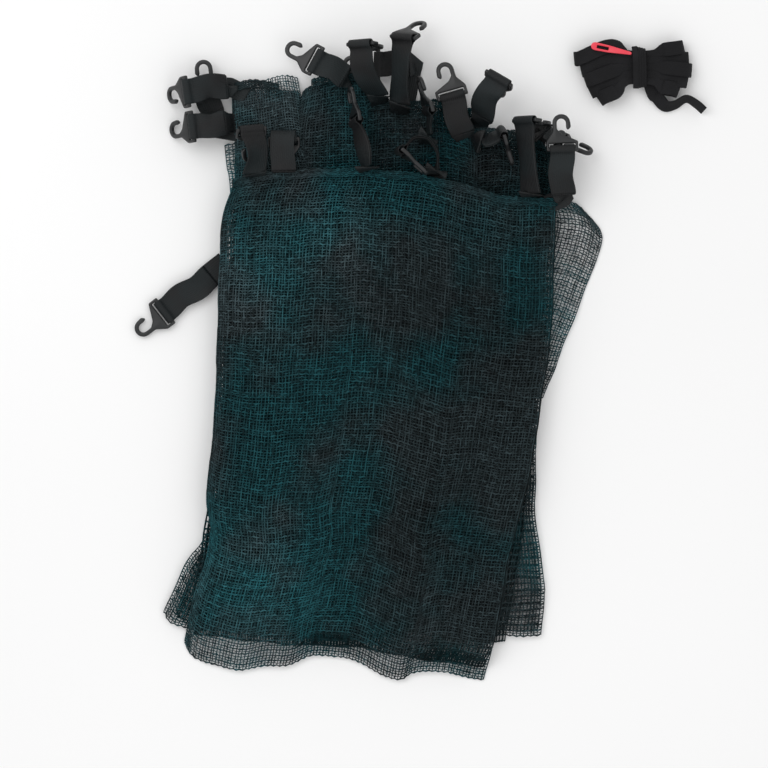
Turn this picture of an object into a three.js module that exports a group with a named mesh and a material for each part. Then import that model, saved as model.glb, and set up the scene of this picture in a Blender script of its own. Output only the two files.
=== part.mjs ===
// A long knitted safety net, folded into a flat bundle, with a webbing strap and a moulded hook
// at each fold of its top hem, and with its hank of flat lace and the needle that threads it.
// Millimetres. +X runs across the bundle, +Y from its bottom edge to its hem, +Z up from the floor.
// The origin is on the floor, under the middle of the bundle.
import * as THREE from "three";

// Webbing and its sewn eye
const WEBBING_WIDTH = 25;
const STRAP_THICKNESS = 2.6;
const EYE_INNER = 3.3;
const EYE_OUTER = 4.9;
const STRAP_STEPS = 9;

// Moulded hook: a bar, a slot, a tapering plate and a J
const BAR = 4;
const HOOK_THICKNESS = 4;
const PLATE_WIDTH = 32;
const SLOT_FAR = 6;
const SLOT_WIDTH = 26.4;
const SHOULDER = 8;
const NECK = 18;
const J_CENTRE = 27;
const J_OUTER = 8.9;
const J_INNER = 4.6;
const TIP = 19.5;

// Heights of the stacked folds
const GAP = 0.4;
const FLOOR_SHEET = 3;
const SECOND_FOLD_TOP = 5;
const REAR_TOP = 14;
const CORE_TOP = 22;
const FRONT_TOP = 29;
const HEM_WIDTH = 6;
const HEM_RISE = 1;

// Flat lace, its hank and the needle
const LACE_TAIL_WIDTH = 8;
const LACE_TAIL_THICKNESS = 3;
const HANK_TOP = 18;
const WAIST = [255, 313];
const WAIST_LENGTH = 15;
const WAIST_HALF = 18;
const WRAP_WALL = 2;
const NEEDLE_THICKNESS = 2.5;
const NEEDLE_HEAD = 4;
const NEEDLE_NECK = 3.6;
const NEEDLE_POINT = 1.6;
const NEEDLE_REACH = 38;
const NEEDLE_EYE = [5, 17];
const NEEDLE_EYE_HALF = 1.6;
const NEEDLE_AT = [207, 334.5];
const NEEDLE_TURN = -11.6;

const finishes = {
  net: { color: 0x18292b, roughness: 0.85, metalness: 0 },
  hem: { color: 0x1d2a2c, roughness: 0.8, metalness: 0 },
  webbing: { color: 0x202022, roughness: 0.75, metalness: 0 },
  hook: { color: 0x242628, roughness: 0.4, metalness: 0 },
  lace: { color: 0x232325, roughness: 0.9, metalness: 0 },
  needle: { color: 0xd82a38, roughness: 0.35, metalness: 0 },
};

const kit = new THREE.Group();

// Adds one named sub-part with its own material.
function add(name, geometry, finish, parent = kit) {
  const mesh = new THREE.Mesh(geometry, new THREE.MeshStandardMaterial(finishes[finish]));
  mesh.name = name;
  parent.add(mesh);
  return mesh;
}

// A flat slab over an outline of [x, y] corners, from one height to another.
function slab(outline, low, high) {
  const shape = new THREE.Shape(outline.map(([x, y]) => new THREE.Vector2(x, y)));
  const geometry = new THREE.ExtrudeGeometry(shape, { depth: high - low, bevelEnabled: false });
  return geometry.translate(0, 0, low);
}

// ---- Folds of the net ----
const folds = {
  front_fold: {
    low: CORE_TOP + GAP,
    high: FRONT_TOP,
    outline: [
      [-152, 192], [-85, 200], [0, 199], [55, 193], [95, 182], [135, 174], [171, 174],
      [168, 50], [158, -20], [145, -100], [125, -180], [112, -257], [102, -300],
      [44, -290], [14, -294], [-25, -284], [-60, -275], [-97, -285], [-149, -290],
      [-194, -275], [-200, -248], [-180, -180], [-173, -150], [-179, -120], [-170, -20],
      [-167, 80], [-163, 160],
    ],
  },
  core_fold: {
    low: REAR_TOP + GAP,
    high: CORE_TOP,
    outline: [
      [-146, 188], [0, 192], [60, 186], [160, 168], [158, 50], [146, -30], [134, -110],
      [116, -190], [96, -280], [0, -280], [-150, -280], [-188, -262], [-172, -180],
      [-166, -100], [-162, 80],
    ],
  },
  middle_fold: {
    low: SECOND_FOLD_TOP + GAP,
    high: REAR_TOP,
    outline: [
      [-158, -20], [150, -20], [150, -120], [134, -252], [-60, -262], [-186, -250],
      [-180, -190], [-160, -130],
    ],
  },
  second_fold: {
    low: 0,
    high: SECOND_FOLD_TOP,
    outline: [
      [-152, -20], [156, -20], [153, -140], [162, -201], [162, -216], [158, -256],
      [112, -256], [-60, -256], [-196, -250], [-223, -232], [-208, -201], [-197, -177],
      [-176, -142],
    ],
  },
  rear_right_fold: {
    low: 0,
    high: FLOOR_SHEET,
    outline: [
      [-98, 182], [175, 180], [209, 160], [220, 145], [215, 125], [190, 60], [160, -18],
      [-98, -18],
    ],
  },
  rear_left_fold: {
    low: 0,
    high: FLOOR_SHEET,
    outline: [
      [-188, 252], [-188, 270], [-104, 270], [-104, -18], [-150, -18], [-158, 160],
      [-163, 235], [-166, 252],
    ],
  },
  rear_top_left_fold: {
    low: FLOOR_SHEET + GAP,
    high: REAR_TOP,
    outline: [
      [-154, 284], [-131, 286], [-118, 295], [-88, 294], [-80, 278], [-80, -15], [-148, -15],
      [-151, 235],
    ],
  },
  rear_top_middle_fold: {
    low: FLOOR_SHEET + GAP,
    high: REAR_TOP,
    outline: [[-79, 282], [-68, 297], [-20, 297], [-17, 280], [-10, 200], [-10, -15], [-79, -15]],
  },
  rear_top_centre_fold: {
    low: FLOOR_SHEET + GAP,
    high: REAR_TOP,
    outline: [[-9, 200], [0, 268], [60, 270], [92, 258], [84, 180], [84, -15], [-9, -15]],
  },
  rear_top_right_fold: {
    low: FLOOR_SHEET + GAP,
    high: REAR_TOP,
    outline: [[85, 180], [96, 242], [150, 238], [160, 200], [163, 176], [148, -15], [85, -15]],
  },
};

for (const [name, { outline, low, high }] of Object.entries(folds)) {
  add(name, slab(outline, low, high), "net");
}

// The stitched hem along the top edge of a fold, a strip just beyond the edge's corners.
const hems = {
  front_hem: {
    low: CORE_TOP + GAP,
    high: FRONT_TOP + HEM_RISE,
    edge: [[-152, 192], [-85, 200], [0, 199], [55, 193], [95, 182], [135, 174], [171, 174]],
  },
  rear_left_hem: {
    low: FLOOR_SHEET + GAP,
    high: REAR_TOP + HEM_RISE,
    edge: [[-154, 284], [-131, 286], [-118, 295], [-88, 294]],
  },
  rear_middle_hem: {
    low: FLOOR_SHEET + GAP,
    high: REAR_TOP + HEM_RISE,
    edge: [[-68, 297], [-20, 297]],
  },
  rear_centre_hem: {
    low: FLOOR_SHEET + GAP,
    high: REAR_TOP + HEM_RISE,
    edge: [[0, 268], [60, 270], [92, 258]],
  },
  rear_right_hem: {
    low: FLOOR_SHEET + GAP,
    high: REAR_TOP + HEM_RISE,
    edge: [[96, 242], [150, 238]],
  },
};

for (const [name, { edge, low, high }] of Object.entries(hems)) {
  const near = edge.map(([x, y]) => [x, y + GAP]);
  const far = edge.map(([x, y]) => [x, y + GAP + HEM_WIDTH]).reverse();
  add(name, slab([...near, ...far], low, high), "hem");
}

// ---- Straps and hooks ----

// The side view of a strap: a band along its route with a round eye at the end.
// The route's points are [along, up] from the seam. Gives the outline, the eye's centre and its tilt.
function strapSide(route) {
  const curve = new THREE.CatmullRomCurve3(route.map(([u, v]) => new THREE.Vector3(u, v, 0)));
  const half = STRAP_THICKNESS / 2;
  const upper = [];
  const lower = [];
  for (let i = 0; i <= STRAP_STEPS; i++) {
    const p = curve.getPointAt(i / STRAP_STEPS);
    const t = curve.getTangentAt(i / STRAP_STEPS);
    upper.push(new THREE.Vector2(p.x - t.y * half, p.y + t.x * half));
    lower.push(new THREE.Vector2(p.x + t.y * half, p.y - t.x * half));
  }
  const end = curve.getPointAt(1);
  const t = curve.getTangentAt(1);
  const tilt = Math.atan2(t.y, t.x);
  const join = Math.asin(half / EYE_OUTER);
  const reach = EYE_OUTER * Math.cos(join);
  const eye = new THREE.Vector2(end.x + t.x * reach, end.y + t.y * reach);
  const shape = new THREE.Shape(lower.slice(0, -1));
  shape.absarc(eye.x, eye.y, EYE_OUTER, tilt - Math.PI + join, tilt + Math.PI - join, false);
  for (const p of upper.slice(0, -1).reverse()) shape.lineTo(p.x, p.y);
  shape.closePath();
  const hole = new THREE.Path();
  hole.absarc(eye.x, eye.y, EYE_INNER, 0, 2 * Math.PI, true);
  shape.holes.push(hole);
  return { shape, eye, tilt };
}

// The hook's plan: bar at the origin, J towards +X, its tip on the side that is given.
function hookPlan(side) {
  const half = PLATE_WIDTH / 2;
  const shape = new THREE.Shape();
  shape.moveTo(-BAR / 2, -side * half);
  shape.lineTo(SHOULDER, -side * half);
  shape.lineTo(NECK, -side * J_OUTER);
  shape.lineTo(J_CENTRE, -side * J_OUTER);
  shape.absarc(J_CENTRE, 0, J_OUTER, -side * Math.PI / 2, side * Math.PI / 2, side < 0);
  shape.lineTo(TIP + 3, side * (J_OUTER + 0.6));
  shape.lineTo(TIP, side * (J_INNER + 1.6));
  shape.lineTo(TIP + 2.5, side * J_INNER);
  shape.lineTo(J_CENTRE, side * J_INNER);
  shape.absarc(J_CENTRE, 0, J_INNER, side * Math.PI / 2, -side * Math.PI / 2, side > 0);
  shape.lineTo(NECK + 2.5, -side * J_INNER);
  shape.lineTo(NECK - 2.5, -side * 0.5);
  shape.lineTo(SHOULDER, side * half);
  shape.lineTo(-BAR / 2, side * half);
  shape.closePath();
  const slot = new THREE.Path();
  slot.moveTo(BAR / 2, -side * SLOT_WIDTH / 2);
  slot.lineTo(BAR / 2, side * SLOT_WIDTH / 2);
  slot.lineTo(SLOT_FAR, side * SLOT_WIDTH / 2);
  slot.lineTo(SLOT_FAR, -side * SLOT_WIDTH / 2);
  slot.closePath();
  shape.holes.push(slot);
  return shape;
}

// A frame at a seam: x along the strap, y out of its face, z across its width.
// Heading is measured from +X in plan, pitch above the horizontal, roll about the strap's own length.
function seamFrame(heading, pitch, roll) {
  const [h, p, r] = [heading, pitch, roll].map(THREE.MathUtils.degToRad);
  const along = new THREE.Vector3(Math.cos(h) * Math.cos(p), Math.sin(h) * Math.cos(p), Math.sin(p));
  const flatFace = new THREE.Vector3(-Math.cos(h) * Math.sin(p), -Math.sin(h) * Math.sin(p), Math.cos(p));
  const face = flatFace.applyAxisAngle(along, -r);
  const across = new THREE.Vector3().crossVectors(along, face);
  return new THREE.Matrix4().makeBasis(along, face, across);
}

// Each strap leaves its seam at a place, turned by heading, pitch and roll, along its route.
// The hook then turns by its angle about the eye, and its tip is on the side given.
const straps = [
  {
    name: "rear_left_upper", seam: [-159, 293, 25], heading: 188, pitch: 14, roll: 0,
    route: [[0, 0], [12, 3], [24, 3], [35, 0]], angle: -54, side: 1,
  },
  {
    name: "rear_left_hidden", seam: [-174, 257, 7], heading: 98, pitch: 4, roll: 0,
    route: [[0, 0], [12, 1], [24, 1]], angle: 0, side: 1,
  },
  {
    name: "rear_left_lower", seam: [-160, 257, 24], heading: 187, pitch: 10, roll: 0,
    route: [[0, 0], [10, 2], [20, 2], [28, 0]], angle: -45, side: -1,
  },
  {
    name: "rear_left_centre", seam: [-40, 303, 26], heading: 152, pitch: 4, roll: 0,
    route: [[0, 0], [10, 2], [20, 2], [28, 0]], angle: -8, side: -1,
  },
  {
    name: "rear_centre_low", seam: [24, 316, 17], heading: 180, pitch: 0, roll: 0,
    route: [[0, 0], [12, 1], [26, 0]], angle: 0, side: -1,
  },
  {
    name: "rear_centre_loop", seam: [-7, 284, 32], heading: 109, pitch: 26, roll: 35,
    route: [[0, 0], [20, 5], [40, 7], [54, 2]], angle: -105, side: 1,
  },
  {
    name: "rear_centre_tall", seam: [15, 275, 35], heading: 87, pitch: 8, roll: 35,
    route: [[0, 0], [20, 4], [42, 4], [62, 1]], angle: -58, side: -1,
  },
  {
    name: "rear_right_centre", seam: [78, 247, 18], heading: 106, pitch: 6, roll: 0,
    route: [[0, 0], [12, 3], [24, 3], [34, 0]], angle: 0, side: 1,
  },
  {
    name: "rear_right_edge", seam: [43, 244, 34], heading: 88, pitch: 0, roll: 75,
    route: [[0, 0], [10, 0], [20, 0]], angle: 20, side: -1,
  },
  {
    name: "rear_right_curl", seam: [97, 263, 27], heading: 68, pitch: 36, roll: 15,
    route: [[0, 0], [16, 5], [32, 5], [42, -2]], angle: -112, side: 1,
  },
  {
    name: "right_group", seam: [96, 238, 36], heading: 22, pitch: 0, roll: 70,
    route: [[0, 0], [9, 0], [18, 0]], angle: -94, side: 1,
  },
  {
    name: "right_front_tall", seam: [145, 186, 40], heading: 95, pitch: 5, roll: 42,
    route: [[0, 0], [24, 3], [48, 3], [68, 0]], angle: -92, side: -1,
  },
  {
    name: "right_end", seam: [178, 186, 33], heading: 92, pitch: 14, roll: 0,
    route: [[0, 0], [14, 3], [28, 3], [40, 0]], angle: -10, side: -1,
  },
  {
    name: "right_tongue", seam: [159, 247, 22], heading: -22, pitch: 0, roll: 60,
    route: [[0, 0], [6, 0], [12, 0]], angle: 0, side: 1,
  },
  {
    name: "front_left", seam: [-101, 209, 32], heading: 90, pitch: 0, roll: 0,
    route: [[0, 0], [18, 3], [32, 3], [39, -3], [35, -8]], angle: -46, side: 1,
  },
  {
    name: "front_left_loop", seam: [-130, 206, 34], heading: 92, pitch: 14, roll: -20,
    route: [[0, 0], [18, 4], [32, 4], [40, -2]], angle: -130, side: 1,
  },
  {
    name: "front_edge", seam: [-18, 212, 44], heading: 104, pitch: -6, roll: 72,
    route: [[0, 0], [14, 1], [28, 1], [42, 0]], angle: 0, side: 1,
  },
  {
    name: "front_centre_loop", seam: [51, 209, 46], heading: 94, pitch: 0, roll: 80,
    route: [[0, 0], [16, -2], [30, 6], [32, 20], [24, 31]], angle: 99, side: 1,
  },
  {
    name: "side_low", seam: [-175, 105, 5.4], heading: 218, pitch: 0, roll: 0,
    route: [[0, 0], [18, 2], [36, 1], [54, 0]], angle: 0, side: -1,
  },
];

for (const { name, seam, heading, pitch, roll, route, angle, side } of straps) {
  const frame = seamFrame(heading, pitch, roll);
  const { shape, eye, tilt } = strapSide(route);
  const web = new THREE.ExtrudeGeometry(shape, {
    depth: WEBBING_WIDTH,
    bevelEnabled: false,
    curveSegments: 10,
  });
  web.translate(0, 0, -WEBBING_WIDTH / 2);
  const strap = add(`${name}_strap`, web, "webbing");
  strap.quaternion.setFromRotationMatrix(frame);
  strap.position.set(...seam);

  const plate = new THREE.ExtrudeGeometry(hookPlan(side), {
    depth: HOOK_THICKNESS,
    bevelEnabled: false,
    curveSegments: 7,
  });
  plate.translate(0, 0, -HOOK_THICKNESS / 2);
  plate.rotateX(-Math.PI / 2);
  const hook = add(`${name}_hook`, plate, "hook");
  const turn = new THREE.Matrix4().makeRotationZ(tilt + THREE.MathUtils.degToRad(angle));
  hook.quaternion.setFromRotationMatrix(frame.clone().multiply(turn));
  hook.position.copy(new THREE.Vector3(eye.x, eye.y, 0).applyMatrix4(frame).add(strap.position));
}

// The sewn tail of the side strap, flat under the edge of the folds.
add(
  "side_strap_tail",
  slab([[-166.8, 95.6], [-182.2, 115.3], [-167, 127.2], [-151.6, 107.5]], FLOOR_SHEET + GAP, 6),
  "webbing",
);

// ---- Lace and needle ----

// A fan of folded lace: two lobes that narrow to the waist, with rounded loop ends.
function hankOutline() {
  const [x, y] = WAIST;
  const shape = new THREE.Shape();
  shape.moveTo(x - 22, y + WAIST_HALF);
  shape.lineTo(x - 45, y + 22);
  shape.quadraticCurveTo(x - 66, y + 20, x - 68, y + 10);
  shape.lineTo(x - 60, y - 14);
  shape.quadraticCurveTo(x - 50, y - 40, x - 39, y - 38);
  shape.lineTo(x - 22, y - WAIST_HALF);
  shape.lineTo(x + 22, y - WAIST_HALF);
  shape.lineTo(x + 36, y - 29);
  shape.quadraticCurveTo(x + 52, y - 24, x + 56, y - 8);
  shape.quadraticCurveTo(x + 56, y + 18, x + 41, y + 28);
  shape.lineTo(x + 22, y + WAIST_HALF);
  shape.closePath();
  return shape;
}

const hankGeometry = new THREE.ExtrudeGeometry(hankOutline(), {
  depth: HANK_TOP,
  bevelEnabled: false,
  curveSegments: 5,
});
add("lace_hank", hankGeometry, "lace");

// The wrap is a band round the waist, open underneath where the hank rests on the floor.
const wrapOutside = [
  [-WAIST_HALF - GAP - WRAP_WALL, 0],
  [-WAIST_HALF - GAP - WRAP_WALL, HANK_TOP + GAP + WRAP_WALL],
  [WAIST_HALF + GAP + WRAP_WALL, HANK_TOP + GAP + WRAP_WALL],
  [WAIST_HALF + GAP + WRAP_WALL, 0],
  [WAIST_HALF + GAP, 0],
  [WAIST_HALF + GAP, HANK_TOP + GAP],
  [-WAIST_HALF - GAP, HANK_TOP + GAP],
  [-WAIST_HALF - GAP, 0],
];
const wrap = add("lace_wrap", slab(wrapOutside, -WAIST_LENGTH / 2, WAIST_LENGTH / 2), "lace");
wrap.rotation.set(Math.PI / 2, Math.PI / 2, 0);
wrap.position.set(WAIST[0], WAIST[1], 0);

// The lace's free end, from the wrap round one bend to its cut end.
const laceTailRoute = [
  [262, 289, 3], [266, 282, 3], [273, 276, 3], [282, 274, 3], [291, 278, 3], [301, 282, 3],
  [311, 277, 3], [320, 270, 3],
].map(([x, y, z]) => new THREE.Vector3(x, y, z));
const tailSection = new THREE.Shape();
tailSection.absellipse(0, 0, LACE_TAIL_THICKNESS / 2, LACE_TAIL_WIDTH / 2, 0, 2 * Math.PI, false, 0);
const tailGeometry = new THREE.ExtrudeGeometry(tailSection, {
  steps: 24,
  curveSegments: 4,
  bevelEnabled: false,
  extrudePath: new THREE.CatmullRomCurve3(laceTailRoute),
});
add("lace_tail", tailGeometry, "lace");

// The needle: a flat bodkin with a long eye at its wide end and a blunt point.
const needlePlan = new THREE.Shape();
needlePlan.moveTo(NEEDLE_HEAD, -NEEDLE_HEAD);
needlePlan.lineTo(NEEDLE_EYE[1], -NEEDLE_NECK);
needlePlan.lineTo(NEEDLE_REACH, -NEEDLE_POINT);
needlePlan.absarc(NEEDLE_REACH + 1, 0, NEEDLE_POINT, -Math.PI / 2, Math.PI / 2, false);
needlePlan.lineTo(NEEDLE_EYE[1], NEEDLE_NECK);
needlePlan.lineTo(NEEDLE_HEAD, NEEDLE_HEAD);
needlePlan.absarc(NEEDLE_HEAD - 1, 0, NEEDLE_HEAD, Math.PI / 2, 1.5 * Math.PI, false);
const needleEye = new THREE.Path();
needleEye.moveTo(NEEDLE_EYE[0], -NEEDLE_EYE_HALF);
needleEye.lineTo(NEEDLE_EYE[0], NEEDLE_EYE_HALF);
needleEye.lineTo(NEEDLE_EYE[1], NEEDLE_EYE_HALF);
needleEye.lineTo(NEEDLE_EYE[1], -NEEDLE_EYE_HALF);
needleEye.closePath();
needlePlan.holes.push(needleEye);
const needle = add(
  "threading_needle",
  new THREE.ExtrudeGeometry(needlePlan, {
    depth: NEEDLE_THICKNESS,
    bevelEnabled: false,
    curveSegments: 5,
  }),
  "needle",
);
needle.rotation.z = THREE.MathUtils.degToRad(NEEDLE_TURN);
needle.position.set(NEEDLE_AT[0], NEEDLE_AT[1], HANK_TOP + GAP);

export default kit;
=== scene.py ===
"""A long knitted safety net, folded into a flat bundle, with webbing straps and moulded hooks along
its top hem, and beside it a hank of flat lace with the needle that threads it.
"""

import math

import bpy
import numpy as np
from mathutils.geometry import tessellate_polygon
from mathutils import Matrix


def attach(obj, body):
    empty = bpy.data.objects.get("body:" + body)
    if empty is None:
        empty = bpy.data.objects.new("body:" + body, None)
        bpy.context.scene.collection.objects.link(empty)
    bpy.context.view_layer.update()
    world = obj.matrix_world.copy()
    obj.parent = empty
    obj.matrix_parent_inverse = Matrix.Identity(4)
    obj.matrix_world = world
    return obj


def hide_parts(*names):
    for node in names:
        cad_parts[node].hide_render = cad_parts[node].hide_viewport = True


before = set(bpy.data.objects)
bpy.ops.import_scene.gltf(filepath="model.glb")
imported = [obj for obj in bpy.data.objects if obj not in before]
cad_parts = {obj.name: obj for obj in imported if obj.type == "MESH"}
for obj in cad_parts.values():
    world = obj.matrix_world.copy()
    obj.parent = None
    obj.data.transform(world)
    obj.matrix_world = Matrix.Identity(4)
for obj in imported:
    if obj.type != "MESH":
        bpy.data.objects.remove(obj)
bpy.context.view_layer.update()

bl_info = {
    "name": "Folded hook net",
    "version": (1, 0, 0),
    "blender": (4, 5, 0),
    "location": "View3D > Sidebar > Hook net",
    "description": "Builds a folded knitted net with its hook straps, its lace and its needle",
    "category": "Object",
}

MM = 0.001

# Edge curves of the folds, in millimetres, seen from above: x across the bundle, y towards the hem.
FRONT = {
    "top": [(-153, 192), (-135, 198), (-115, 200), (-85, 202), (-35, 204), (20, 200), (55, 194),
            (95, 183), (130, 175), (173, 175)],
    "left": [(-163, 160), (-167, 80), (-170, -20), (-175, -80), (-179, -120), (-174, -150),
             (-180, -180), (-195, -230)],
    "right": [(171, 130), (168, 50), (158, -20), (145, -100), (125, -180), (112, -257)],
    "bottom": [(-201, -262), (-194, -275), (-177, -284), (-149, -290), (-120, -287), (-97, -285),
               (-75, -277), (-46, -277), (-25, -284), (-5, -294), (14, -301), (27, -294),
               (42, -291), (59, -293), (74, -296), (102, -301)],
}
CORE = {**FRONT, "bottom": [(-192, -254), (-100, -264), (-30, -267), (30, -278), (100, -287)]}
MIDDLE = {
    "top": [(-160, 118), (164, 118)],
    "left": [(-165, 30), (-170, -60), (-182, -150), (-192, -210)],
    "right": [(156, 30), (150, -60), (138, -160)],
    "bottom": [(-198, -246), (-60, -258), (60, -266), (122, -262)],
}
SECOND = {
    "top": [(-158, 118), (162, 118)],
    "left": [(-164, 30), (-166, -20), (-176, -142), (-197, -177), (-208, -201)],
    "right": [(157, 30), (155, -20), (153, -90), (153, -140), (162, -201), (162, -216)],
    "bottom": [(-223, -232), (-200, -248), (-60, -258), (40, -252), (112, -256), (159, -256)],
}
SECOND_BACK = {
    "top": [(-156, 116), (160, 116)],
    "left": [(-162, 30), (-164, -20), (-173, -142), (-191, -182), (-200, -206)],
    "right": [(154, 30), (151, -90), (150, -140), (158, -201)],
    "bottom": [(-211, -230), (-192, -242), (-60, -252), (40, -247), (112, -251), (155, -251)],
}
REAR_RIGHT = {
    "top": [(-90, 184), (60, 186), (175, 181), (208, 162)],
    "left": [(-90, 80)],
    "right": [(219, 146), (215, 125), (190, 60)],
    "bottom": [(-90, -18), (160, -18)],
}
REAR_LEFT = {
    "top": [(-163, 236), (-130, 240), (-100, 238)],
    "left": [(-160, 214), (-157, 193), (-156, 100)],
    "right": [(-100, 100)],
    "bottom": [(-150, -18), (-100, -18)],
}
TOP_LEFT = {
    "top": [(-154, 290), (-129, 293), (-106, 290), (-86, 288)],
    "left": [(-151, 235)],
    "right": [(-76, 240), (-64, 205)],
    "bottom": [(-150, 112), (-42, 112)],
}
TOP_LEFT_VEIL = {
    "top": [(-154, 291), (-131, 297), (-106, 305), (-86, 302)],
    "left": [(-151, 235)],
    "right": [(-84, 290), (-75, 240), (-63, 205)],
    "bottom": [(-148, 112), (-40, 112)],
}
TOP_MIDDLE = {
    "top": [(-83, 288), (-74, 294), (-55, 299), (-35, 300), (-17, 301)],
    "left": [(-92, 240)],
    "right": [(-10, 240)],
    "bottom": [(-104, 112), (-2, 112)],
}
TOP_CENTRE = {
    "top": [(-20, 270), (10, 272), (60, 272), (92, 262)],
    "left": [(-22, 200)],
    "right": [(94, 200)],
    "bottom": [(-22, 112), (92, 112)],
}
TOP_RIGHT = {
    "top": [(86, 240), (100, 245), (150, 241), (166, 228)],
    "left": [(86, 180)],
    "right": [(176, 214), (172, 180)],
    "bottom": [(86, 112), (160, 112)],
}

# The crease across the bundle: its two ends, its height and its reach to either side, in metres
CREASE = ((0.123, 0.075), (0.052, -0.19))
CREASE_HEIGHT, CREASE_REACH = 0.0018, 0.004
# The bundle's slow waves: length in metres, heading and start in radians. A wave's height is a share
# of its length
WAVES = [(0.09, 0.4, 0.6), (0.06, 1.9, 2.1), (0.13, 2.6, 4.0), (0.045, 1.1, 5.2), (0.035, 2.9, 1.3)]
WAVE_SHARE = 0.006
# The share of a layer over which the cloth turns down to the next one
TURN_SHARE = 0.012
# How far the chains move sideways and the rows up and down, and the yarn's lowest place, in metres
CHAIN_SWAY, ROW_SWAY, LOWEST = 0.0004, 0.0007, 0.0009
# Painted highlights on the front fold, lighter where the light falls: centre and reach, in metres
PAINTED_HIGHLIGHTS = [(-0.14, 0.10, 0.05), (-0.14, -0.21, 0.07), (-0.05, 0.15, 0.04)]
# Painted shade: where the front fold is made nearly black
PAINTED_SHADE_SPOTS = [(0.10, 0.05, 0.09), (0.05, -0.16, 0.07)]
# The knit's unevenness: how far chains and rows are off their places, in shares of their pitch, and
# how far a chain wanders slowly and from joint to joint, in metres
CHAIN_OFF, ROW_OFF, WANDER, JITTER = 0.17, 0.12, 0.0002, 0.00012
# The joints of a row lie up and down by turns and a little under the chains, in metres
JOINT_STEP, INLAY_DEPTH = 0.0006, 0.00015
# The yarn of the thin rows between the others, and the painted shade that darkens the layers that lie
# under the first, as shares of the usual
THIN_ROW, UNDER_SHADE = 0.6, 0.5
# How much paler the painted highlights make the yarn, and how much darker the painted shade makes it
HIGHLIGHT_GAIN, SHADE_GAIN = 0.8, -0.3


def strip(edge, low, high):
    """The four edges of a band along an edge, from low to high millimetres past it."""
    first, last = edge[0], edge[-1]
    return {
        "top": [(x, y + high) for x, y in edge],
        "left": [(first[0], first[1] + (low + high) / 2)],
        "right": [(last[0], last[1] + (low + high) / 2)],
        "bottom": [(x, y + low) for x, y in edge],
    }


# name, edges, heights of its layers, CAD nodes that it stands for, fineness of its rows,
# fall of its edges (left, right, top, bottom) and their reach, height and length of its pleats,
# and how pale and how thick its yarn is. The low paleness of the folds under the front and of the
# rear centre and right folds is painted shade
FOLDS = [
    ("front_fold", FRONT, [28.4], ["front_fold"], 1, (5, 5, 0.5, 25), 26, (0.5, 90), (1.0, 1.0)),
    # front_back and core_fold are darkened with painted shade, as they lie under the front fold
    ("front_back", CORE, [25.0], [], 2, (5, 5, 0.5, 12), 20, (0.5, 90), (0.35, 1.0)),
    ("core_fold", CORE, [21.4, 18.0], ["core_fold"], 2, (5, 5, 0, 9), 18, (0.5, 90), (0.4, 1.1)),
    ("middle_fold", MIDDLE, [13.5, 9.5], ["middle_fold"], 2, (4, 4, 0, 4), 18, (0.5, 90),
     (1.0, 1.0)),
    ("second_fold", SECOND, [6.0], ["second_fold"], 1, (0.8, 0.8, 0, 0.8), 14, (0.4, 60),
     (1.0, 1.05)),
    ("second_back", SECOND_BACK, [3.9, 1.9], [], 2, (0.5, 0.5, 0, 0.5), 14, (0.4, 60), (1.0, 1.0)),
    ("rear_right_fold", REAR_RIGHT, [2.4], ["rear_right_fold"], 1, (0, 0.3, 0, 0), 8, (0.3, 60),
     (1.3, 0.92)),
    ("rear_left_fold", REAR_LEFT, [2.0], ["rear_left_fold"], 1, (0, 0, 0, 0), 8, (0.3, 60),
     (1.9, 0.85)),
    ("rear_top_left_fold", TOP_LEFT, [10.6, 7.6, 4.8], ["rear_top_left_fold"], 1,
     (2, 2, 1, 0), 10, (1.3, 26), (1.6, 1.1)),
    ("rear_top_left_veil", TOP_LEFT_VEIL, [13.6], [], 1, (3, 3, 5, 0), 12, (1.3, 26), (1.8, 0.85)),
    ("rear_top_middle_fold", TOP_MIDDLE, [12.2, 9.2, 6.3, 3.9], ["rear_top_middle_fold"], 1,
     (2, 2, 1, 0), 8, (1.3, 21), (1.0, 1.15)),
    # The rear centre and right folds are darkened with painted shade
    ("rear_top_centre_fold", TOP_CENTRE, [13.4, 10.2, 7.0, 4.4], ["rear_top_centre_fold"], 1,
     (2, 2, 1, 0), 10, (1.4, 24), (0.75, 1.15)),
    ("rear_top_right_fold", TOP_RIGHT, [13.4, 10.2, 7.0, 4.4], ["rear_top_right_fold"], 1,
     (2, 3, 1, 0), 12, (1.4, 24), (0.65, 1.15)),
]

# A hem's width and the step between its two layers, in millimetres, and the row pitch of the hems and
# of the hidden layers, as shares of the net's own
HEM_WIDTH, HEM_STEP, HEM_ROWS, HIDDEN_ROWS = 7, 1.8, 0.4, 1.3
# name (also its CAD node), edge, height, the fold that it finishes
HEMS = [
    ("front_hem", FRONT["top"], 28.6, "front_fold"),
    ("rear_left_hem", TOP_LEFT["top"][:3], 13.4, "rear_top_left_fold"),
    ("rear_middle_hem", TOP_MIDDLE["top"][1:], 13.8, "rear_top_middle_fold"),
    ("rear_centre_hem", TOP_CENTRE["top"], 13.6, "rear_top_centre_fold"),
    ("rear_right_hem", TOP_RIGHT["top"][:3], 13.6, "rear_top_right_fold"),
]

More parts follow.
